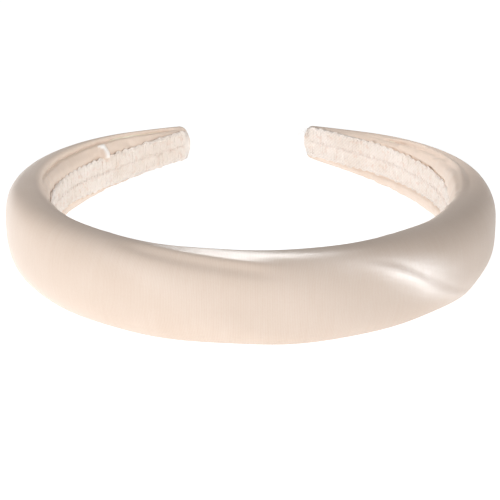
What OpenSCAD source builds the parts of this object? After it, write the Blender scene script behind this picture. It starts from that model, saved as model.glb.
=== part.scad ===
// Padded satin headband, lying flat on one edge.
// A springy plastic core runs from tip to tip. A domed foam pad is taped to its outside, a satin
// cover is pulled round both and hemmed on the inside, and a looped braid lines the inside.
// The real band flexes open as one piece. Here every layer is cut once, at the crown, so that the
// two halves can turn about one hinge on the outermost line of the crown.
// Units are millimetres. +Z is across the band's width, and the tips point to +Y.

/* [Band, seen from above] */
// Inner radius over the crown
crown_r = 61.5; // [60:0.5:64]
// Angle that the crown arc turns through, on each side
crown_turn = 57.5; // [55:0.5:60]
// Inner radius over the temples
temple_r = 64; // [62:0.5:67]
// Angle that the temple arc turns through
temple_turn = 54; // [50:0.5:56]
// Inner radius behind the ears
rear_r = 77; // [72:1:82]
// Angle that the rear arc turns through
rear_turn = 25.5; // [22:0.5:27]
// Inner radius of the nearly straight tips
tip_r = 270; // [200:5:400]
// Angle that the tip arc turns through
tip_turn = 5.2; // [4:0.2:5.6]

/* [Padded section] */
// Width of the band at the crown
crown_w = 26.6; // [24:0.2:30]
// Width of the band at the tips
tip_w = 11; // [10.8:0.1:13]
// Thickness of the band at the crown
crown_t = 15.6; // [12:0.2:18]
// Thickness of the band at the tips
tip_t = 4.2; // [4.2:0.1:5]
// Radius of the rounded tip, seen from the side
tip_round = 3.4; // [2.5:0.1:3.8]

/* [Layers] */
// Thickness of the satin cover
satin_t = 0.45; // [0.3:0.05:0.5]
// Gap between the two hems of the cover, under the braid
hem_gap = 4; // [2:0.5:5]
// Thickness of the plastic core
core_t = 1.5; // [1.2:0.1:1.6]
// Width of the plastic core at the crown
core_crown_w = 13; // [10:0.5:13.5]
// Width of the plastic core at the tips
core_tip_w = 7; // [6:0.5:7]
// Thickness of the double-sided tape under the foam
tape_t = 0.2; // [0.1:0.05:0.25]
// Width of the double-sided tape
tape_w = 6; // [4:0.5:6]
// Width of the lining braid
braid_w = 10.4; // [9:0.2:10.8]
// Thickness of the lining braid
braid_t = 1.2; // [0.8:0.1:1.5]
// Diameter of the chain stitch along the braid
stitch_d = 0.7; // [0.5:0.1:0.9]

/* [Hinge] */
// Gap between the two halves at the crown
split = 0.35; // [0.35:0.05:0.6]

/* [Hidden] */
$fn = 64;

// Clearance between two neighbouring layers
clear = 0.1;
// How far each layer stops short of the end of the band
core_short = 1.4;
tape_short = 9;
foam_short = 7;
braid_short = 1;
stitch_short = 5;
hem_short = 9;
// Powers of the section's rounded outline, outside and inside; 2 would be an ellipse
dome_power = 2.3;
flat_power = 3.4;
// Where the section is widest, and how thin it gets at the very end, as shares of its thickness
widest_at = 0.45;
end_share = 0.55;
// How the width and the thickness fall off from the crown to the tip
width_power = 2.64;
thick_power = 3.3;
thick_sharpness = 2.15;
// How much rounder than half its width a strip's end is drawn
end_slack = 1.03;
// Points round the section, and stations along one half of the band
dome_points = 18;
flat_points = 6;
stations = 42;
tip_stations = 4;
strip_stations = 60;
thread_points = 8;
// Longer than anything that it cuts
far = 200;

// The band's inner face is four arcs on each side, each [radius, turn], tangent to the next.
ARCS = [[crown_r, crown_turn], [temple_r, temple_turn], [rear_r, rear_turn], [tip_r, tip_turn]];
LAST = len(ARCS) - 1;
function arc_length(i) = ARCS[i][0] * ARCS[i][1] * PI / 180;
half_length = arc_length(0) + arc_length(1) + arc_length(2) + arc_length(3);

// [x, y, heading] after turning through an angle on a radius, from such a place
function turned(p, r, a) =
    [p[0] + r * (sin(p[2] + a) - sin(p[2])), p[1] + r * (cos(p[2]) - cos(p[2] + a)), p[2] + a];
// Where an arc starts
function arc_start(i) =
    i == 0 ? [0, 0, 0] : turned(arc_start(i - 1), ARCS[i - 1][0], ARCS[i - 1][1]);
// The place at length s along the inner face, from the crown
function along(s, i = 0) =
    s <= arc_length(i) || i == LAST
        ? turned(arc_start(i), ARCS[i][0], s / ARCS[i][0] * 180 / PI)
        : along(s - arc_length(i), i + 1);
// A point n outward from the inner face at length s, seen from above
function beside(s, n) = let (p = along(s)) [p[0] + n * sin(p[2]), p[1] - n * cos(p[2])];

// Full width and thickness of the band at length s
function fade(s) = min(1, s / half_length);
function width(s) = tip_w + (crown_w - tip_w) * (1 - pow(fade(s), width_power));
function thickness(s) =
    tip_t + (crown_t - tip_t) * pow(1 - pow(fade(s), thick_power), thick_sharpness);

// How much of the rounded end is left at length s, for a form that ends at length end
function end_left(s, end) =
    let (t = max(0, (s - end + tip_round) / tip_round)) sqrt(max(0, 1 - t * t));

// A point of the section at length s and angle a, where 0 is outward and 180 is inward.
// The section is taken in by an inset and belongs to a form that ends at length end.
function section_point(s, a, inset, end) =
    let (
        left = end_left(s, end),
        half_w = width(s) / 2 - inset - tip_round * (1 - left),
        full = thickness(s) - 2 * inset,
        t = full * (end_share + (1 - end_share) * left),
        middle = inset + (full - t) / 2 + t * widest_at,
        power = cos(a) > 0 ? dome_power : flat_power,
        reach = cos(a) > 0 ? t * (1 - widest_at) : t * widest_at,
        n = middle + sign(cos(a)) * reach * pow(abs(cos(a)), 2 / power),
        z = sign(sin(a)) * half_w * pow(abs(sin(a)), 2 / power)
    )
    concat(beside(s, n), z);

// Angles round the section, from one edge of a slot of half width slot_z to its other edge
function slot_angle(s, slot_z, inset) =
    180 - asin(pow(slot_z / (width(s) / 2 - inset), flat_power / 2));
function ring_angles(from) = concat(
    [for (j = [0 : flat_points - 1]) -from + (from - 90) * j / flat_points],
    [for (j = [0 : dome_points]) -90 + 180 * j / dome_points],
    [for (j = [1 : flat_points]) 90 + (from - 90) * j / flat_points]);
ring_count = 2 * flat_points + dome_points + 1;
function ring(s, slot_z, inset, end) =
    [for (a = ring_angles(slot_angle(s, slot_z, inset))) section_point(s, a, inset, end)];

// Lengths at which the cover is drawn: evenly along its hems, then closer together round the tip
slot_end = half_length - hem_short;
function even(from, to, count) = [for (i = [0 : count]) from + (to - from) * i / count];
function tip_lengths(end) = concat(
    [end - tip_round],
    [for (i = [1 : tip_stations]) end - tip_round + tip_round * sin(90 * i / tip_stations)]);
function cover_rings(inset, end) =
    [for (s = concat(even(split / 2, slot_end, stations), tip_lengths(end)))
        ring(s, hem_gap / 2, inset, end)];

// Faces of the wall between the rings a and a + 1, of count points each, open or closed
function wall(a, count, closed, out) =
    [for (j = [0 : count - (closed ? 1 : 2)])
        let (p = a * count + j, q = a * count + (j + 1) % count)
        out ? [p, p + count, q + count, q] : [p, q, q + count, p + count]];
function up_to(count) = [for (j = [0 : count - 1]) j];
function reversed(list) = [for (j = [len(list) - 1 : -1 : 0]) list[j]];
function raised(list, by) = [for (v = list) v + by];

// A solid through a list of closed rings that have the same number of points
module loft(rings) {
    count = len(rings[0]);
    top = len(rings) - 1;
    polyhedron(
        points = [for (r = rings) each r],
        faces = concat(
            [up_to(count), raised(reversed(up_to(count)), top * count)],
            [for (i = [0 : top - 1]) each wall(i, count, true, true)]),
        convexity = 6);
}

// A flat strip from n_in to n_out, up to length end
module strip(n_in, n_out, height, end) {
    lengths = even(split / 2, end, strip_stations);
    translate([0, 0, -height / 2]) linear_extrude(height)
        polygon(concat([for (s = lengths) beside(s, n_in)],
                       [for (s = reversed(lengths)) beside(s, n_out)]));
}

// A strip of the given full width whose end is rounded
module rounded_strip(n_in, n_out, height, end, end_w) {
    radius = end_w / 2 * end_slack;
    tip = along(end - radius);
    intersection() {
        strip(n_in, n_out, height, end);
        translate([tip[0], tip[1], 0]) rotate([0, 0, tip[2]]) {
            translate([-far, -far, -far]) cube([far, 2 * far, 2 * far]);
            rotate([90, 0, 0]) cylinder(r = radius, h = 2 * far, center = true);
        }
    }
}

// Springy plastic strip that gives the band its shape, narrower towards its tips
core_in = satin_t + 4 * clear;
core_out = core_in + core_t;
taper_from = along(half_length / 2)[1];
taper_to = along(half_length)[1];
function core_half(s) =
    let (share = (along(s)[1] - taper_from) / (taper_to - taper_from))
    (core_crown_w - (core_crown_w - core_tip_w) * max(0, min(1, share))) / 2;
module core() {
    wide = core_crown_w / 2;
    thin = core_tip_w / 2;
    color("whitesmoke") intersection() {
        rounded_strip(core_in, core_out, core_crown_w + 1, half_length - core_short, core_tip_w);
        rotate([90, 0, 90]) linear_extrude(far) polygon([
            [-far, -wide], [taper_from, -wide], [taper_to, -thin], [far, -thin],
            [far, thin], [taper_to, thin], [taper_from, wide], [-far, wide]]);
    }
}

// Double-sided tape between the core and the foam
tape_in = core_out + clear / 5;
tape_out = tape_in + tape_t;
module foam_tape() {
    color("khaki") strip(tape_in, tape_out, tape_w, half_length - tape_short);
}

// Domed foam pad, with a slot along its inside for the core and the tape
module foam_pad() {
    inset = satin_t + clear;
    slot_n = tape_out + clear;
    color("lightyellow") loft([for (s = even(split / 2, half_length - foam_short, stations))
        let (slot_z = core_half(s) + 1.5 * clear)
        concat([concat(beside(s, slot_n), slot_z), concat(beside(s, slot_n), -slot_z)],
               ring(s, slot_z, inset, far * 2))]);
}

// Satin cover: a thin skin round the pad, closed at the tip, with a slot between its two hems
module satin_cover() {
    outer = cover_rings(0, half_length);
    inner = cover_rings(satin_t, half_length - satin_t);
    count = ring_count;
    rows = len(outer);
    shift = rows * count;
    gap = stations * count;
    color("mistyrose") polyhedron(
        points = concat([for (r = outer) each r], [for (r = inner) each r]),
        faces = concat(
            [for (i = [0 : rows - 2]) each wall(i, count, i >= stations, true)],
            [for (i = [0 : rows - 2]) for (f = wall(i, count, i >= stations, false)) raised(f, shift)],
            [for (j = [0 : count - 2]) [j, j + 1, j + 1 + shift, j + shift]],
            [raised(reversed(up_to(count)), (rows - 1) * count)],
            [raised(up_to(count), (rows - 1) * count + shift)],
            [for (i = [0 : stations - 1]) let (p = i * count)
                [p, p + shift, p + count + shift, p + count]],
            [for (i = [0 : stations - 1]) let (p = (i + 1) * count - 1)
                [p, p + count, p + count + shift, p + shift]],
            [[gap, gap + shift, gap + count - 1 + shift, gap + count - 1]]),
        convexity = 8);
}

// Looped braid that lines the inside and hides the hems
braid_out = -clear;
braid_in = braid_out - braid_t;
module lining_braid() {
    color("linen")
        rounded_strip(braid_in, braid_out, braid_w, half_length - braid_short, braid_w);
}

// Chain stitch along the middle of the braid
module chain_stitch() {
    r = stitch_d / 2;
    middle = braid_in - r - clear / 5;
    color("rosybrown") loft([for (s = even(split / 2, half_length - stitch_short, stations))
        [for (j = [0 : thread_points - 1])
            let (a = 360 * j / thread_points)
            concat(beside(s, middle + r * cos(a)), r * sin(a))]]);
}

// The whole part stands on its lower edge, with the centre of its bounding box over the origin.
reach_y = [for (r = cover_rings(0, half_length)) for (p = r) p[1]];
module placed(side) {
    translate([0, -(min(reach_y) + max(reach_y)) / 2, crown_w / 2])
        mirror([side == "left" ? 1 : 0, 0, 0]) children();
}

placed("left") core();  // core_left
placed("right") core();  // core_right
placed("left") foam_tape();  // foam_tape_left
placed("right") foam_tape();  // foam_tape_right
placed("left") foam_pad();  // foam_pad_left
placed("right") foam_pad();  // foam_pad_right
placed("left") satin_cover();  // satin_cover_left
placed("right") satin_cover();  // satin_cover_right
placed("left") lining_braid();  // lining_braid_left
placed("right") lining_braid();  // lining_braid_right
placed("left") chain_stitch();  // chain_stitch_left
placed("right") chain_stitch();  // chain_stitch_right
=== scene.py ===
import math

import bpy
import numpy as np
from mathutils import Matrix, Vector

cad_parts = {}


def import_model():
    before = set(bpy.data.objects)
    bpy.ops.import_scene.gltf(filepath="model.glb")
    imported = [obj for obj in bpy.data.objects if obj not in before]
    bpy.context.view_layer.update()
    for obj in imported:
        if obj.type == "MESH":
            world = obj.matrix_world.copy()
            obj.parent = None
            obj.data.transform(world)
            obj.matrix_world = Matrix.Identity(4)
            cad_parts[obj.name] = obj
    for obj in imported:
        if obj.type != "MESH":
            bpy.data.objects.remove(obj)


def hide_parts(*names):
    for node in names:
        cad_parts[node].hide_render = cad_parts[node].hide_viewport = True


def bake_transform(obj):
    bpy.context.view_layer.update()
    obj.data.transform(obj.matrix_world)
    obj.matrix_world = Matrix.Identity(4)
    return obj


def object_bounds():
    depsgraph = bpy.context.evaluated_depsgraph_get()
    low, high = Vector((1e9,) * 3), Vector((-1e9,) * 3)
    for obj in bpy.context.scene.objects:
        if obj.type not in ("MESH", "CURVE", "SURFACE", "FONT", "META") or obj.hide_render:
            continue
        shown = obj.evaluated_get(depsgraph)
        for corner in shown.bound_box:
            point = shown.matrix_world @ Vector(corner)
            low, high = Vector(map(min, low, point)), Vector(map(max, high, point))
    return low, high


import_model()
CAD_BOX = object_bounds()

# ---------------------------------------------------------------- sizes, in mm and degrees
MM = 0.001
ARCS = [(61.5, 57.5), (64.0, 54.0), (77.0, 25.5), (270.0, 5.2)]  # inner radius, degrees turned
LENGTH = sum(r * math.radians(a) for r, a in ARCS)  # half of the band, along its inner face
CROWN_W, CROWN_T = 26.6, 15.6  # width and thickness of the padding at the crown
TIP_W, TIP_T = 11.0, 4.2  # and at the tips
TIP_ROUND = 3.4  # each tip's rounding starts this far from its end
TIP_THIN = 0.55  # share of the thickness that is left at the very end
LEFT_CORNER, RIGHT_CORNER = 2.8, 1.6  # corner radii of the tips, the right one squarer
WIDEST = 0.45  # the section is widest this far out, as a share of its thickness
OUTER_POWER, INNER_POWER = 2.3, 3.4  # the section's outer side is rounder than its inner one
MID_Z = CROWN_W / 2
FRONT = CAD_BOX[0].y / MM + CROWN_T  # y at the inner face of the crown

HEM_GAP = 4.0  # between the satin's two hems, under the braid
CUT_LONG, CUT_WIDE = 1.13, 1.01  # the satin's flat cut against the band's inside
OUTER_LONG = 1.12  # the padding's middle line against its inner face
TIP_FOLDS = (0.85, 0.6, 0.35, 0.12, 0.03)  # sizes of the rings that close a tip
TIP_TUCK = 0.5  # how far they reach past the end
TUCK = -143.4  # where the left arm's tuck lies, along the band
FOLD = [(20, 60), (33, 36), (42, 7), (64, -51)]  # the front's slanting fold: place along the band, angle

CORE_W, CORE_TIP_W = 13, 7
CORE_IN, CORE_OUT = 0.85, 2.35  # how far the core's two faces lie outside the band's inner face
CORE_END = LENGTH - 1.4
CORE_ROUND = 3.5
GLUE_IN, GLUE_OUT = 2.38, 2.58  # the faces of the tape between core and foam
GLUE_W = 6.0
GLUE_END = LENGTH - 9
FOAM_IN = 2.72  # where the foam starts over the tape
FOAM_END = LENGTH - 7
SATIN_T = 0.6  # room for the satin over the foam

BRAID_HALF = 5.5
BRAID_END = LENGTH - 0.4
BRAID_ROUND = 2.2
BRAID_IN, BRAID_OUT = -0.99, -0.12  # the faces of the braid's tape, inside the band's inner face
LOOP = 3.1  # one scallop of the braid, along the band
ARCH_HALVES = (1.34, 0.90, 0.46)  # half widths of the three strands' arches in a scallop
YARN_R = 0.26
FIBRE_R = 0.03
STITCH_R = 0.12


def arc_table(step=0.25):
    """Points, every step mm, of the inner face of the right half: s, x, y, heading."""
    s = np.arange(0, LENGTH + 12, step)
    turn = np.zeros_like(s)
    start = 0.0
    for i, (r, a) in enumerate(ARCS):
        length = r * math.radians(a) if i < len(ARCS) - 1 else 1e9
        turn += np.clip(s - start, 0, length) / r
        start += r * math.radians(a)
    mid = (turn[1:] + turn[:-1]) / 2
    x = np.concatenate([[0], np.cumsum(np.cos(mid) * step)])
    y = np.concatenate([[0], np.cumsum(np.sin(mid) * step)])
    return s, x, y, turn


TABLE = arc_table()


def place(s, n, z):
    """Points in the part's frame, in mm.

    s runs along the inner face from the crown, to the right where it is positive.
    n is outward from that face, and z is above the band's middle plane.
    """
    s, n, z = np.broadcast_arrays(np.asarray(s, float), n, z)
    a = np.abs(s)
    side = np.where(s < 0, -1.0, 1.0)
    x = np.interp(a, TABLE[0], TABLE[1])
    y = np.interp(a, TABLE[0], TABLE[2])
    h = np.interp(a, TABLE[0], TABLE[3])
    return np.stack([side * (x + n * np.sin(h)), y - n * np.cos(h) + FRONT, z + MID_Z], -1)


def outward(s):
    """The unit vector that points out of the band at s."""
    h = np.interp(np.abs(s), TABLE[0], TABLE[3])
    side = np.where(np.asarray(s) < 0, -1.0, 1.0)
    return np.stack([side * np.sin(h), -np.cos(h), 0 * h], -1)


def fade(s):
    """0 at the crown and 1 at the tips."""
    return np.minimum(1, np.abs(s) / LENGTH)


def width(s):
    """Of the band, from rim to rim."""
    return TIP_W + (CROWN_W - TIP_W) * (1 - fade(s) ** 2.64)


def thickness(s):
    """Of the padding, from its inner face out."""
    return TIP_T + (CROWN_T - TIP_T) * (1 - fade(s) ** 3.3) ** 2.15


def signed_power(v, p):
    return np.sign(v) * np.abs(v) ** p


def section(s, a, inset=0.0, end=LENGTH):
    """n and z of the padded section at s and angle a (0 outward, pi inward), taken in by inset."""
    past = np.clip((np.abs(s) - end + TIP_ROUND) / TIP_ROUND, 0, 1)
    corner = np.where(s < 0, LEFT_CORNER, RIGHT_CORNER)
    turned = np.clip((past - 1) * TIP_ROUND / corner + 1, 0, 1)
    half_w = width(s) / 2 - inset - corner * (1 - np.sqrt(1 - turned * turned))
    full = thickness(s) - 2 * inset
    thick = full * (TIP_THIN + (1 - TIP_THIN) * np.sqrt(1 - past * past))
    middle = inset + (full - thick) / 2 + thick * WIDEST
    out = np.cos(a) > 0
    power = np.where(out, OUTER_POWER, INNER_POWER)
    reach = thick * np.where(out, 1 - WIDEST, WIDEST)
    return middle + reach * signed_power(np.cos(a), 2 / power), half_w * signed_power(np.sin(a), 2 / power)


# ---------------------------------------------------------------- meshes
def grid_faces(rows, cols, close_rows=False, close_cols=False):
    """Quads over a grid of points, as an array of four point numbers each."""
    i = np.arange(rows if close_rows else rows - 1)
    j = np.arange(cols if close_cols else cols - 1)
    i, j = np.meshgrid(i, j, indexing="ij")
    i2, j2 = (i + 1) % rows, (j + 1) % cols
    return np.stack([i * cols + j, i2 * cols + j, i2 * cols + j2, i * cols + j2], -1).reshape(-1, 4)


def mesh_object(name, points, faces, uv=None):
    """A smooth mesh object from points in mm and a list of faces. uv gives one pair per point, in mm."""
    mesh = bpy.data.meshes.new(name)
    mesh.from_pydata((np.asarray(points) * MM).tolist(), [], [list(map(int, f)) for f in faces])
    mesh.validate()
    if uv is not None:
        layer = mesh.uv_layers.new(name="band")
        index = np.zeros(len(mesh.loops), np.int32)
        mesh.loops.foreach_get("vertex_index", index)
        layer.data.foreach_set("uv", np.asarray(uv, np.float32)[index].ravel())
    mesh.polygons.foreach_set("use_smooth", [True] * len(mesh.polygons))
    obj = bpy.data.objects.new(name, mesh)
    bpy.context.scene.collection.objects.link(obj)
    return obj


def tubes(paths, up, radius, sides=6, closed=False):
    """Points and faces of round tubes along many paths.

    paths is an array (count, points, 3) in mm, and up points across each path.
    """
    paths = np.asarray(paths, float)
    count, length, _ = paths.shape
    if closed:
        ahead, behind = np.roll(paths, -1, 1), np.roll(paths, 1, 1)
    else:
        ahead = np.concatenate([paths[:, 1:], paths[:, -1:]], 1)
        behind = np.concatenate([paths[:, :1], paths[:, :-1]], 1)
    tangent = ahead - behind
    tangent /= np.linalg.norm(tangent, axis=-1, keepdims=True)
    side = np.cross(tangent, up)
    side /= np.linalg.norm(side, axis=-1, keepdims=True)
    top = np.cross(side, tangent)
    a = np.linspace(0, 2 * math.pi, sides, endpoint=False)[None, None, :, None]
    ring = paths[:, :, None] + radius * (np.cos(a) * side[:, :, None] + np.sin(a) * top[:, :, None])
    one = grid_faces(length, sides, close_rows=closed, close_cols=True)
    faces = np.concatenate([one + k * length * sides for k in range(count)]).tolist()
    if not closed:
        for k in range(count):
            first = k * length * sides
            faces.append(list(range(first + sides - 1, first - 1, -1)))
            last = first + (length - 1) * sides
            faces.append(list(range(last, last + sides)))
    return ring.reshape(-1, 3), faces


def bend(obj):
    """Bakes the piece's placement into its mesh."""
    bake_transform(obj)


# ---------------------------------------------------------------- materials
BIAS = 115  # degrees from the band's length to the way the satin's shine spreads
SATIN_LOW, SATIN_HIGH = (0.80, 0.65, 0.54), (0.85, 0.705, 0.60)
# painted highlight: a paler colour laid on the lit flank of the left arm's tuck
TUCK_PAINTED_HIGHLIGHT = (0.97, 0.92, 0.88, 1)
BRAID_LOW, BRAID_HIGH = (0.85, 0.75, 0.67), (0.92, 0.84, 0.78)
THREAD_LOW, THREAD_HIGH = (0.88, 0.75, 0.67), (0.93, 0.83, 0.77)
DYE_SPECK = (0.78, 0.58, 0.48, 1)
FOAM_LOW, FOAM_HIGH = (0.86, 0.80, 0.62), (0.93, 0.88, 0.74)
CORE_LOW, CORE_HIGH = (0.84, 0.83, 0.80), (0.88, 0.87, 0.84)
GLUE_LOW, GLUE_HIGH = (0.86, 0.80, 0.62), (0.90, 0.85, 0.68)


def material(name):
    """A new material with one Principled shader: the material, its node tree and the shader."""
    m = bpy.data.materials.new(name)
    m.use_nodes = True
    tree = m.node_tree
    tree.nodes.clear()
    out = tree.nodes.new("ShaderNodeOutputMaterial")
    shader = tree.nodes.new("ShaderNodeBsdfPrincipled")
    tree.links.new(shader.outputs["BSDF"], out.inputs["Surface"])
    return m, tree, shader


def node(tree, kind, _in=None, **props):
    """A shader node. _in gives its inputs, each a value or the socket that feeds it."""
    n = tree.nodes.new("ShaderNode" + kind)
    for key, value in props.items():
        setattr(n, key, value)
    for key, value in (_in or {}).items():
        socket = n.inputs[key]
        if isinstance(value, bpy.types.NodeSocket):
            tree.links.new(value, socket)
        else:
            socket.default_value = value
    return n


def ramp(tree, fac, stops):
    """A colour ramp over fac. Each stop is a place and a colour, or a place and one grey value."""
    n = node(tree, "ValToRGB", {"Fac": fac})
    e = n.color_ramp.elements
    while len(e) < len(stops):
        e.new(0.5)
    for item, (pos, col) in zip(e, stops):
        item.position = pos
        item.color = (*col, 1) if len(col) == 3 else (col[0],) * 3 + (1,)
    return n.outputs["Color"]


def mixed(tree, share, first, second, how="MIX"):
    """The colour of first with a share of second laid over it."""
    n = node(tree, "MixRGB", {"Fac": share, "Color1": first, "Color2": second}, blend_type=how)
    return n.outputs["Color"]


def satin_material():
    """Satin: its shine spreads along the bias, and a painted highlight makes the tuck's lit flank paler.
    """
    m, t, sh = material("satin")
    uv = node(t, "UVMap", uv_map="band").outputs["UV"]
    obj = node(t, "TexCoord").outputs["Object"]
    # the weave's ribs run across the band, 0.4 mm apart, and a thicker thread shows as a streak
    rib_shape = {"Vector": uv, "Scale": 0.76, "Distortion": 1.4, "Detail": 2.0, "Detail Scale": 1.2}
    rib = node(t, "TexWave", rib_shape, wave_type="BANDS", bands_direction="X", wave_profile="SIN")
    stretch = node(t, "Mapping", {"Vector": uv, "Scale": (1.5, 0.06, 1.0)}).outputs["Vector"]
    streak = node(t, "TexNoise", {"Vector": stretch, "Scale": 1.0, "Detail": 3.0, "Roughness": 0.6})
    grain = node(t, "TexNoise", {"Vector": uv, "Scale": 1.3, "Detail": 3.0, "Roughness": 0.7})
    cloud = node(t, "TexNoise", {"Vector": obj, "Scale": 38.0, "Detail": 3.0, "Roughness": 0.55})
    base = ramp(t, cloud.outputs["Fac"], [(0.3, SATIN_LOW), (0.7, SATIN_HIGH)])
    # painted highlight: the tuck's lit flank is mixed towards a paler colour
    tuck_highlight = node(t, "Attribute", attribute_name="tuck_highlight").outputs["Fac"]
    base = mixed(t, tuck_highlight, base, TUCK_PAINTED_HIGHLIGHT)
    for texture, share in ((rib, 0.11), (streak, 0.16), (grain, 0.12)):
        base = mixed(t, share, base, texture.outputs["Fac"], "SOFT_LIGHT")
    t.links.new(base, sh.inputs["Base Color"])
    sh.inputs["Roughness"].default_value = 0.42
    sh.inputs["Anisotropic"].default_value = 0.9
    sh.inputs["Anisotropic Rotation"].default_value = BIAS / 360
    sh.inputs["Specular IOR Level"].default_value = 0.5
    sh.inputs["Sheen Weight"].default_value = 0.10
    sh.inputs["Sheen Roughness"].default_value = 0.4
    tangent = node(t, "Tangent", direction_type="UV_MAP", uv_map="band")
    t.links.new(tangent.outputs["Tangent"], sh.inputs["Tangent"])
    bump = node(t, "Bump", {"Strength": 0.06, "Distance": 0.0002, "Height": rib.outputs["Fac"]})
    for texture, share in ((streak, 0.05), (grain, 0.08)):
        bump = node(t, "Bump", {"Strength": share, "Distance": 0.0003, "Height": texture.outputs["Fac"],
                                "Normal": bump.outputs["Normal"]})
    t.links.new(bump.outputs["Normal"], sh.inputs["Normal"])
    return m


def yarn_material(name, low, high, roughness, twisted=False):
    """Soft yarn. A twisted one shows its ply as slanting ridges, and rosy specks of dye."""
    m, t, sh = material(name)
    obj = node(t, "TexCoord").outputs["Object"]
    big = node(t, "TexNoise", {"Vector": obj, "Scale": 90.0, "Detail": 4.0, "Roughness": 0.6})
    fine = node(t, "TexNoise", {"Vector": obj, "Scale": 2600.0, "Detail": 2.0})
    base = ramp(t, big.outputs["Fac"], [(0.35, low), (0.65, high)])
    height = fine.outputs["Fac"]
    if twisted:
        speck = node(t, "TexNoise", {"Vector": obj, "Scale": 520.0, "Detail": 2.0, "Roughness": 0.5})
        share = ramp(t, speck.outputs["Fac"], [(0.56, (0.0,)), (0.72, (0.55,))])
        base = mixed(t, share, base, DYE_SPECK)
        uv = node(t, "UVMap", uv_map="band").outputs["UV"]
        ply = node(t, "TexWave", {"Vector": uv, "Scale": 0.55, "Distortion": 2.0, "Detail": 2.0},
                   wave_type="BANDS", bands_direction="DIAGONAL", wave_profile="SIN")
        base = mixed(t, 0.16, base, ply.outputs["Color"], "SOFT_LIGHT")
        height = mixed(t, 0.5, height, ply.outputs["Color"])
    t.links.new(base, sh.inputs["Base Color"])
    sh.inputs["Roughness"].default_value = roughness
    sh.inputs["Sheen Weight"].default_value = 0.4
    bump = node(t, "Bump", {"Strength": 0.5, "Distance": 0.0002, "Height": height})
    t.links.new(bump.outputs["Normal"], sh.inputs["Normal"])
    return m


def plain_material(name, low, high, scale, roughness, bump_m):
    """Foam, tape or plastic: one cloudy colour and a fine bump."""
    m, t, sh = material(name)
    obj = node(t, "TexCoord").outputs["Object"]
    n = node(t, "TexNoise", {"Vector": obj, "Scale": scale, "Detail": 4.0})
    t.links.new(ramp(t, n.outputs["Fac"], [(0.3, low), (0.7, high)]), sh.inputs["Base Color"])
    sh.inputs["Roughness"].default_value = roughness
    bump = node(t, "Bump", {"Strength": 0.5, "Distance": bump_m, "Height": n.outputs["Fac"]})
    t.links.new(bump.outputs["Normal"], sh.inputs["Normal"])
    return m


# ---------------------------------------------------------------- satin cover
def smooth(x):
    """0 below 0, 1 above 1, and a soft step between."""
    x = np.clip(x, 0, 1)
    return x * x * (3 - 2 * x)


def hump(x, spread):
    """A soft bump of height 1 round x = 0."""
    return np.exp(-((x / spread) ** 2))


def between(x, low, high, soft):
    """1 from low to high, and down to 0 over soft outside them."""
    return smooth((x - low) / soft + 1) * smooth((high - x) / soft + 1)


def wander(x, seed, lengths):
    """An uneven wave along x, about -1 to 1, made of a few wavelengths in mm."""
    rng = np.random.default_rng(seed)
    total = sum(np.sin(2 * math.pi * x / w + rng.uniform(0, 6.3)) for w in lengths)
    return total / math.sqrt(len(lengths))


def braid_middle(s):
    """The braid is glued on by hand: it wanders down on the left arm and up on the right one."""
    return -1.5 * hump(s + 146, 24) + 1.15 * between(s, 112, 220, 34)


def hem_roll(s, deg, z, inside, upper):
    """The hem rolls over between the rim and the braid, most of all on the right arm."""
    low = np.abs(braid_middle(s) + np.sign(z) * BRAID_HALF) + 0.1
    high = width(s) / 2 - 0.8
    across = (np.abs(z) - (low + high) / 2) / np.maximum((high - low) / 2, 0.3)
    roll = np.sqrt(np.clip(1 - across**4, 0, 1)) * inside
    wave = 1 + 0.22 * wander(s, 3, (23, 14, 9))
    right = between(s, 96, 134, 22)
    hollow = np.clip(section(s, np.radians(deg))[0], 0, 1.8)
    lift = 0.9 * roll * upper * right * wave
    lift += 0.9 * hollow * inside * upper * right
    lift += 0.5 * hump(deg - 112, 20) * between(s, 74, 100, 20)
    lift += 0.45 * roll * (1 - upper) * wave * between(np.abs(s), 60, 150, 30)
    return lift


def rim_crease(s, deg, z, inside, upper):
    """A crease beside the rim on both arms, and the left arm's rim standing up next to it."""
    rim = width(s) / 2 - np.abs(z)
    left_line = 1.25 - 0.85 * smooth((-s - 118) / 38)
    line = rim - np.where(s > 0, 0.8, left_line) - 0.12 * wander(s, 5, (31, 17, 8))
    ripple = 0.2 * wander(s, 6, (13.0, 9.0, 6.1))
    lift = -1.15 * hump(line + ripple, 0.55) * inside * upper * between(s, 108, 142, 14)
    lift -= 1.0 * hump(line, 0.5) * inside * upper * between(-s, 106, 168, 14)
    lift -= 0.35 * hump(rim - 2.4, 1.5) * inside * upper * between(-s, 95, 165, 20)
    lift += 0.5 * hump(deg - 100, 14) * between(-s, 90, 160, 26)
    return lift


def left_tuck(s, deg):
    """One tuck across the left arm's inner face."""
    past = s - TUCK
    cross = between(deg, 131, 170, 6)
    slope = np.where(past > 0, 1 - smooth(past / 3.4), hump(past, 0.6))
    height = 0.9 + 1.2 * smooth((deg - 128) / 34)
    return height * slope * cross - 0.6 * hump(past + 1.8, 0.7) * cross


def slack_folds(s, deg):
    """Long slack folds near the rim of the crown and on the right of the front."""
    crown = between(s, -24, -5, 15)
    ridge = hump(deg - 77 + (s + 17) * 0.95, 8.0)
    valley = hump(deg - 62 + (s + 19) * 0.85, 9.0)
    fold = np.interp(s, *zip(*FOLD))
    below = smooth((fold + 6 - deg) / 18) * smooth((deg - fold + 70) / 60)
    return 0.34 * (ridge - valley) * crown + 0.33 * below * between(s, 32, 64, 10)


def puckers(s, deg):
    """Small puckers run from the hem, and the padding is a little uneven."""
    top = np.abs(deg)
    hem = between(top, 128, 176, 26)
    pucker = wander(s + 2.0 * np.sin(top / 30), 11, (3.7, 5.3, 7.9, 11.0))
    uneven = wander(s + deg * 0.12, 21, (29, 43, 71)) * wander(deg, 22, (90, 160))
    return 0.16 * pucker * hem * (0.6 + 0.4 * wander(s, 12, (37, 61))) + 0.16 * uneven


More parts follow.
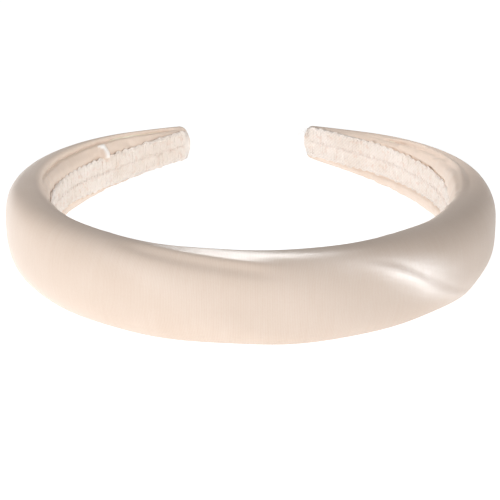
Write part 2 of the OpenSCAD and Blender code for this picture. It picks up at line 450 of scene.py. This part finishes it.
def sculpt(s, a, z):
    """How far, in mm, folds and tucks push the satin out of the plain section."""
    deg = np.degrees(a)
    inside = smooth((np.abs(deg) - 92) / 16)
    upper = (deg > 0) * 1.0
    lift = hem_roll(s, deg, z, inside, upper) + rim_crease(s, deg, z, inside, upper)
    lift += 1.1 * hump(deg - 62, 34) * hump(s + 74, 26)  # the left bend is fuller at its outer edge
    lift += left_tuck(s, deg) + slack_folds(s, deg) + puckers(s, deg)
    return lift * smooth((LENGTH - np.abs(s)) / 8)


def stations(end, step):
    """Places along the whole band, closer together at both rounded tips."""
    middle = np.linspace(-(end - TIP_ROUND), end - TIP_ROUND, int(2 * (end - TIP_ROUND) / step) + 1)
    tip = end - TIP_ROUND + TIP_ROUND * np.sin(np.linspace(0, math.pi / 2, 7)[1:])
    return np.concatenate([-tip[::-1], middle, tip])


def cover_grid(s, around):
    """The cover's grid, evenly spaced round each section.

    It gives angles, z, lengths round the section, points and normals.
    """
    angles, lengths = [], []
    for here in s:
        # at the very tips the hems all but meet under the braid
        gap = HEM_GAP * (1 - 0.9 * smooth((abs(here) - LENGTH + 3) / 2.4))
        limit = math.pi - math.asin((gap / width(here)) ** (INNER_POWER / 2))
        a = np.linspace(-limit, limit, 1201)  # fine enough to measure along
        n, z = section(here, a)
        run = np.concatenate([[0], np.cumsum(np.hypot(np.diff(n), np.diff(z)))])
        even = np.linspace(0, run[-1], around)
        angles.append(np.interp(even, run, a))
        lengths.append(even - run[-1] / 2)
    a = np.array(angles)
    n, z = section(s[:, None], a)
    points = place(s[:, None], n, z)
    out = np.cross(np.gradient(points, axis=0), np.gradient(points, axis=1))
    out /= np.linalg.norm(out, axis=-1, keepdims=True)
    return a, z, np.array(lengths), points, out


def gather(points, flat, held):
    """How far, in mm, a cloth simulation moves the satin's points from their places on the band.

    flat is where they lie in the flat cut, which is longer than the band's inside, so the satin
    gathers there. held marks the points that can't move.
    """
    grow = 0.02  # the cloth solver works at furniture size, 20 times the real one
    rows, cols, _ = points.shape
    obj = mesh_object("gathering", points.reshape(-1, 3) * grow / MM, grid_faces(rows, cols))
    obj.shape_key_add(name="Basis")
    cut = obj.shape_key_add(name="cut")
    cut.data.foreach_set("co", (flat * grow).ravel())
    group = obj.vertex_groups.new(name="held")
    group.add(np.flatnonzero(held).tolist(), 1.0, "REPLACE")
    cloth = obj.modifiers.new("cloth", "CLOTH")
    cloth.settings.quality = 4
    cloth.settings.mass = 0.2
    cloth.settings.tension_stiffness = 20
    cloth.settings.compression_stiffness = 20
    cloth.settings.shear_stiffness = 6
    cloth.settings.bending_stiffness = 0.6
    cloth.settings.use_pressure = True
    cloth.settings.uniform_pressure_force = 4
    cloth.settings.effector_weights.gravity = 0
    cloth.settings.rest_shape_key = cut
    cloth.settings.vertex_group_mass = "held"
    cloth.collision_settings.use_collision = False
    scene = bpy.context.scene
    for frame_now in range(1, 21):
        scene.frame_set(frame_now)
    result = obj.evaluated_get(bpy.context.evaluated_depsgraph_get())
    moved = np.zeros(rows * cols * 3, np.float32)
    result.data.vertices.foreach_get("co", moved)
    bpy.data.objects.remove(obj)
    scene.frame_set(1)
    return moved.reshape(points.shape) / grow - points


def blur(grid, passes):
    """Each value takes a share of its neighbours' values, passes times."""
    for _ in range(passes):
        for axis in (0, 1):
            wide = np.concatenate([grid.take([0], axis), grid, grid.take([-1], axis)], axis)
            size = grid.shape[axis]
            low, mid, high = (wide.take(range(k, k + size), axis) for k in (0, 1, 2))
            grid = 0.25 * low + 0.5 * mid + 0.25 * high
    return grid


def gathered_rise(s, around):
    """How far the gathered satin stands out of the plain section, at s and around places round it."""
    coarse = stations(LENGTH, 1.5)
    count = 96
    a, z, v, points, out = cover_grid(coarse, count)
    # glued at both hems and over the tips
    held = np.zeros(a.shape, bool)
    held[:, :2] = held[:, -2:] = True
    held[:8] = held[-8:] = True
    flat = np.stack([coarse[:, None] * CUT_LONG + 0 * v, v * CUT_WIDE, 0 * v], -1)
    rise = (gather(points, flat, held) * out).sum(-1)
    rise = np.clip(rise, -0.5, 2.0) * smooth((np.abs(np.degrees(a)) - 70) / 50)
    places = np.linspace(0, count - 1, around)
    rise = np.stack([np.interp(places, np.arange(count), row) for row in rise])
    rise = np.stack([np.interp(s, coarse, col) for col in rise.T], 1)
    return blur(rise, 2)


def close_tip(ring, inner):
    """Ever smaller rings that fold the satin over a tip and in under the braid.

    ring is the last ring of points before the fold, and inner is the one before it.
    """
    middle = (ring[0] + ring[-1]) / 2
    away = (ring - inner).mean(0)
    away /= np.linalg.norm(away)
    return np.array([middle + (ring - middle) * f + away * TIP_TUCK * (1 - f * f) for f in TIP_FOLDS])


def satin_cover():
    """One sheet of satin round the whole band, open between its hems."""
    s = stations(LENGTH, 0.7)
    around = 172
    a, z, v, pts, out = cover_grid(s, around)
    rise = sculpt(s[:, None], a, z)
    rise = rise + gathered_rise(s, around)
    pts = pts + out * rise[..., None]
    left, right = close_tip(pts[0], pts[1]), close_tip(pts[-1], pts[-2])
    pts = np.concatenate([left[::-1], pts, right])
    extra = len(TIP_FOLDS)
    more = np.arange(1, extra + 1) * TIP_TUCK
    s = np.concatenate([s[0] - more[::-1], s, s[-1] + more])
    v = np.pad(v, ((extra, extra), (0, 0)), "edge")
    deg = np.degrees(np.pad(a, ((extra, extra), (0, 0)), "edge"))
    uv = np.stack([s[:, None] * OUTER_LONG + 0 * v, v], -1).reshape(-1, 2)
    obj = mesh_object("satin_cover", pts.reshape(-1, 3), grid_faces(len(s), around), uv)
    # painted highlight: the tuck's crown-facing flank, where light catches it, is coloured paler
    highlight_w = 1.2 + 1.2 * smooth((150 - deg) / 16)
    tuck_highlight = between(s[:, None] - TUCK, 0.5, highlight_w, 0.6) * between(deg, 133, 166, 4)
    obj.data.attributes.new("tuck_highlight", "FLOAT", "POINT").data.foreach_set("value", tuck_highlight.ravel())
    obj.data.materials.append(satin_material())
    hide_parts("satin_cover_left", "satin_cover_right")
    return obj


# ---------------------------------------------------------------- inner pieces
def strip(name, n_in, n_out, half_w, end, step=2.5):
    """A flat strip with softened edges, along the whole band."""
    s = np.linspace(-end, end, int(2 * end / step) + 1)
    w = half_w(s)
    c = min(0.3, (n_out - n_in) / 3)  # chamfer
    corners = [(n_in, -1, c), (n_in + c, -1, 0), (n_out - c, -1, 0), (n_out, -1, c),
               (n_out, 1, c), (n_out - c, 1, 0), (n_in + c, 1, 0), (n_in, 1, c)]
    n = np.array([[k[0] for k in corners]] * len(s))
    z = np.stack([k[1] * (w - k[2]) for k in corners], 1)
    pts = place(s[:, None], n, z)
    faces = grid_faces(len(s), len(corners), close_cols=True).tolist()
    last = (len(s) - 1) * len(corners)
    faces += [list(range(len(corners) - 1, -1, -1)), list(range(last, last + len(corners)))]
    return mesh_object(name, pts.reshape(-1, 3), faces)


def core_half(s):
    """Half the core's width, which narrows over the outer half of each arm."""
    y = np.interp(np.abs(s), TABLE[0], TABLE[2])
    y0, y1 = (np.interp(v, TABLE[0], TABLE[2]) for v in (LENGTH / 2, LENGTH))
    half = (CORE_W - (CORE_W - CORE_TIP_W) * np.clip((y - y0) / (y1 - y0), 0, 1)) / 2
    past = np.clip((np.abs(s) - CORE_END + CORE_ROUND) / CORE_ROUND, 0, 0.97)  # never a sharp end
    return half * np.sqrt(1 - past * past)


def glue_half(s):
    """Half the width of the tape that holds the foam."""
    return np.full_like(s, GLUE_W / 2)


def foam_pad():
    """The domed foam, pressed in where the satin's creases lie, with a slot for the core."""
    s = np.linspace(-FOAM_END, FOAM_END, 200)
    slot = core_half(s) + 0.2
    half = width(s) / 2 - SATIN_T + 0.05
    start = math.pi - np.arcsin(np.clip(slot / half, 0, 0.95) ** (INNER_POWER / 2))
    around = 40
    a = np.linspace(-1, 1, around)[None, :] * start[:, None]
    ss = np.repeat(s[:, None], around, 1)
    n, z = section(ss, a, SATIN_T, 1e9)
    pressed = np.minimum(sculpt(ss, a, z), 0)
    n = n + pressed * np.cos(a)
    z = z + pressed * np.sin(a)
    n = np.concatenate([n, np.full((len(s), 2), FOAM_IN)], 1)
    z = np.concatenate([z, slot[:, None], -slot[:, None]], 1)
    pts = place(s[:, None], n, z)
    cols = n.shape[1]
    faces = grid_faces(len(s), cols, close_cols=True).tolist()
    last = (len(s) - 1) * cols
    faces += [list(range(cols - 1, -1, -1)), list(range(last, last + cols))]
    return mesh_object("foam_pad", pts.reshape(-1, 3), faces)


# ---------------------------------------------------------------- braid
class Strands:
    """Collects many small meshes into one."""

    def __init__(self):
        self.points, self.faces, self.uv, self.count = [], [], [], 0

    def add(self, points, faces, s, z):
        """s and z are where the points lie along and across the band, for the yarn's twist."""
        points = points.reshape(-1, 3)
        repeat = len(points) // s.size
        self.points.append(points)
        self.uv.append(np.repeat(np.stack([s.ravel(), z.ravel()], -1), repeat, 0))
        self.faces.extend([[v + self.count for v in face] for face in faces])
        self.count += len(points)


def round_end(s, half):
    """What is left at s of half, half the braid's width, with the braid's ends rounded."""
    past = np.clip((np.abs(s) - BRAID_END + BRAID_ROUND) / (BRAID_ROUND * 1.05), 0, 1)
    return half * np.sqrt(1 - past * past)


def fibres(rng, s, z, n, reach):
    """Short loose fibres of yarn that start at s, z, n and curl away, reach mm long."""
    count = len(s)
    t = np.linspace(0, 1, 6)[None, :]
    way = rng.uniform(0, 2 * math.pi, (count, 1))
    curl = rng.normal(0, 1.1, (count, 1))
    run = reach * t
    ss = s[:, None] + run * np.cos(way + curl * t)
    zz = z[:, None] + run * np.sin(way + curl * t) + braid_middle(ss)
    nn = n[:, None] - 0.22 * np.sin(t * math.pi) * rng.uniform(0.3, 1.6, (count, 1))
    return *tubes(place(ss, nn, zz), outward(ss), FIBRE_R, 3), ss, zz


def braid_tape(strands):
    """The flat tape that carries the yarn."""
    s = np.linspace(-BRAID_END, BRAID_END, 300)
    w = round_end(s, BRAID_HALF - 0.5)
    ring_n = np.array([BRAID_IN, BRAID_IN, BRAID_IN, BRAID_OUT, BRAID_OUT, BRAID_OUT])
    ring_z = np.array([-1, 0, 1, 1, 0, -1.0])
    corners = len(ring_n)
    faces = grid_faces(len(s), corners, close_cols=True).tolist()
    last = (len(s) - 1) * corners
    faces += [list(range(corners - 1, -1, -1)), list(range(last, last + corners))]
    across = w[:, None] * ring_z[None, :] + braid_middle(s)[:, None]
    # the satin curves away from the braid at the tips, and the tape is thicker there to meet it
    rounding = np.clip((np.abs(s) - LENGTH + TIP_ROUND) / TIP_ROUND, 0, 1)
    gap = 0.3 * thickness(s) * (1 - np.sqrt(1 - rounding**2))
    depth = ring_n[None, :] + gap[:, None] * (ring_n == BRAID_OUT)[None, :]
    strands.add(place(s[:, None], depth, across), faces, s[:, None] + 0 * across, across)


def scallops(strands, rng, side):
    """One row of scallops, three strands in each, along one edge of the braid."""
    loops = int(2 * BRAID_END / LOOP) - 1
    centre = (np.arange(loops) - (loops - 1) / 2) * LOOP
    leg = np.linspace(0, 1, 6)
    turn = np.linspace(0, math.pi, 11)[1:-1]
    jitter = rng.normal(0, 0.10, loops)
    reach = round_end(centre, BRAID_HALF) - 0.15 + rng.normal(0, 0.14, loops)
    arch = reach[:, None] - 0.22 - 1.31
    up = -0.2 + (arch + 0.2) * leg[None, :]
    for half in ARCH_HALVES:
        half_here = half * rng.uniform(0.93, 1.05, loops)[:, None]
        ds = np.concatenate([-half_here + 0 * up, -half_here * np.cos(turn), half_here + 0 * up], 1)
        zz = np.concatenate([up, arch + half_here * np.sin(turn), up[:, ::-1]], 1)
        spread = 0.82 + 0.18 * np.clip((zz - 0.45) / 1.2, 0, 1)
        ss = centre[:, None] + jitter[:, None] + ds * spread
        nn = -0.86 - 0.08 * np.clip((zz - 0.4) / 1.6, 0, 1) + rng.normal(0, 0.035, (loops, 1))
        nn = nn + 0.16 * smooth((zz - arch) / 1.3)
        zz = side * zz + braid_middle(ss)
        strands.add(*tubes(place(ss, nn, zz), outward(ss), YARN_R), ss, zz)


def loose_fibres(strands, rng):
    """Fuzz all over the yarn, and frayed ends at the right tip."""
    fuzz = 520
    s = rng.uniform(-BRAID_END + 4, BRAID_END - 4, fuzz)
    z = rng.uniform(-4.6, 4.6, fuzz)
    reach = rng.uniform(0.6, 2.4, (fuzz, 1))
    strands.add(*fibres(rng, s, z, np.full(fuzz, -1.12), reach))
    frayed = 16
    s = np.full(frayed, BRAID_END - 0.4)
    z = rng.uniform(0.5, 4.2, frayed)
    reach = rng.uniform(1.5, 3.6, (frayed, 1))
    strands.add(*fibres(rng, s, z, np.full(frayed, -0.9), reach))


def braid():
    """A flat tape with a row of yarn scallops to each of its edges."""
    strands = Strands()
    rng = np.random.default_rng(4)
    braid_tape(strands)
    for side in (1, -1):
        scallops(strands, rng, side)
    loose_fibres(strands, rng)
    points, uv = np.concatenate(strands.points), np.concatenate(strands.uv)
    obj = mesh_object("lining_braid", points, strands.faces, uv)
    obj.data.materials.append(yarn_material("braid_yarn", BRAID_LOW, BRAID_HIGH, 0.75, True))
    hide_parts("lining_braid_left", "lining_braid_right")
    return obj


def chain_stitch():
    """A row of small separate thread loops along the middle of the braid."""
    pitch = LOOP / 2
    count = int(2 * (LENGTH - 5.0) / pitch)
    rng = np.random.default_rng(9)
    centre = (np.arange(count) - (count - 1) / 2) * pitch
    t = np.linspace(0, 2 * math.pi, 14, endpoint=False)
    slant = np.where(np.arange(count) % 2, 0.35, -0.2)[:, None]
    dz = 0.62 * np.sin(t) * (1 - 0.5 * np.cos(t))
    ds = pitch * 0.40 * np.cos(t) + slant * dz
    nn = -1.07 + 0.10 * np.cos(t)
    ss = centre[:, None] + ds + rng.normal(0, 0.09, (count, 1))
    zz = dz * rng.uniform(0.6, 1.2, (count, 1)) + rng.normal(0, 0.12, (count, 1)) + braid_middle(ss)
    pts, faces = tubes(place(ss, nn + 0 * ss, zz), outward(ss), STITCH_R, 5, closed=True)
    obj = mesh_object("chain_stitch", pts, faces)
    obj.data.materials.append(yarn_material("stitch_thread", THREAD_LOW, THREAD_HIGH, 0.6))
    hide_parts("chain_stitch_left", "chain_stitch_right")
    return obj


# ---------------------------------------------------------------- camera, floor and lights
def camera():
    """It looks down on the band by 21 degrees, from the front."""
    dist, lens = 611.9, 141.68  # mm
    elevation, yaw, roll = math.radians(21.28), math.radians(1.06), math.radians(0.24)
    target = Vector((-0.16, FRONT + 62.0, MID_Z - 12.76))
    away = Vector((0, -math.cos(elevation) * dist, math.sin(elevation) * dist))
    away.rotate(Matrix.Rotation(-yaw, 3, "Z"))
    cam = bpy.data.objects.new("camera", bpy.data.cameras.new("camera"))
    bpy.context.scene.collection.objects.link(cam)
    cam.location = (target + away) * MM
    look = (-away).to_track_quat("-Z", "Y").to_matrix()
    cam.rotation_euler = (look @ Matrix.Rotation(roll, 3, "Z")).to_euler()
    cam.data.sensor_width = 36.0
    cam.data.lens = lens
    cam.data.clip_start = 0.02
    cam.data.clip_end = 20
    bpy.context.scene.camera = cam


def area_light(name, place_m, at, size, power, color=(1, 1, 1), spread=180):
    """A rectangle of light, in metres, that faces the point at. spread is in degrees."""
    light = bpy.data.lights.new(name, "AREA")
    light.spread = math.radians(spread)
    light.shape = "RECTANGLE"
    light.size, light.size_y = size
    light.energy = power
    light.color = color
    obj = bpy.data.objects.new(name, light)
    bpy.context.scene.collection.objects.link(obj)
    obj.location = place_m
    obj.rotation_euler = (Vector(at) - Vector(place_m)).to_track_quat("-Z", "Y").to_euler()
    obj.visible_camera = False
    return obj


def floor():
    """A pale floor just under the band, bright enough to read as white."""
    m, _, sh = material("floor")
    sh.inputs["Base Color"].default_value = (0.35, 0.35, 0.35, 1)
    sh.inputs["Roughness"].default_value = 1.0
    sh.inputs["Specular IOR Level"].default_value = 0.0
    sh.inputs["Emission Color"].default_value = (1, 1, 1, 1)
    sh.inputs["Emission Strength"].default_value = 0.90
    half, top = 3000, -0.2
    corners = [(-half, -half, top), (half, -half, top), (half, half, top), (-half, half, top)]
    obj = mesh_object("floor", corners, [(0, 1, 2, 3)])
    obj.data.materials.append(m)


def world():
    """Even white light from all round."""
    w = bpy.data.worlds.new("world")
    bpy.context.scene.world = w
    w.use_nodes = True
    bg = w.node_tree.nodes["Background"]
    bg.inputs["Color"].default_value = (1, 1, 1, 1)
    bg.inputs["Strength"].default_value = 0.36


def lights():
    """Soft studio light: a low key from the left, small lamps inside the arms, and two that only shine.

    Sizes and places are in metres.
    """
    area_light("key", (-0.85, -0.84, 0.34), (0, 0, 0.01), (0.6, 0.4), 5.7)
    area_light("fill", (0.05, -1.2, 0.46), (0, 0.05, 0.01), (0.5, 0.3), 0.6)
    area_light("left_arm", (0.075, -0.015, 0.10), (-0.055, 0.04, 0.012), (0.05, 0.03), 0.016,
               spread=80)
    area_light("left_low", (0.03, 0.0, 0.003), (-0.06, 0.045, 0.002), (0.04, 0.004), 0.0015,
               color=(0.85, 1, 0.95), spread=100)
    area_light("right_arm", (0.045, 0.03, 0.14), (0.066, 0.032, 0.02), (0.04, 0.03), 0.0055,
               spread=50)
    rim = area_light("rim", (0.02, 0.165, 0.30), (-0.004, -0.067, 0.026), (0.04, 0.01), 0.0042,
                     spread=8)
    shine = area_light("shine", (0.448, -0.19, 0.013), (0.04, -0.056, 0.01), (0.24, 0.026), 0.22,
                       color=(0.92, 0.96, 1.0), spread=32)
    # these two show only as the satin's shine, at the crown's rim and on the right of the front
    rim.visible_diffuse = False
    shine.visible_diffuse = False


camera()
floor()
world()
lights()
view = bpy.context.scene.view_settings
view.view_transform = "Standard"
view.look = "None"

cover = satin_cover()
lining = braid()
thread = chain_stitch()
foam = foam_pad()
foam.data.materials.append(plain_material("foam", FOAM_LOW, FOAM_HIGH, 900.0, 0.9, 0.0004))
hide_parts("foam_pad_left", "foam_pad_right")
core = strip("plastic_core", CORE_IN, CORE_OUT, core_half, CORE_END)
core.data.materials.append(plain_material("core_plastic", CORE_LOW, CORE_HIGH, 60.0, 0.35, 0.00005))
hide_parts("core_left", "core_right")
tape = strip("foam_tape", GLUE_IN, GLUE_OUT, glue_half, GLUE_END)
tape.data.materials.append(plain_material("tape", GLUE_LOW, GLUE_HIGH, 200.0, 0.5, 0.0001))
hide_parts("foam_tape_left", "foam_tape_right")

for piece in (cover, lining, thread, foam, core, tape):
    bend(piece)
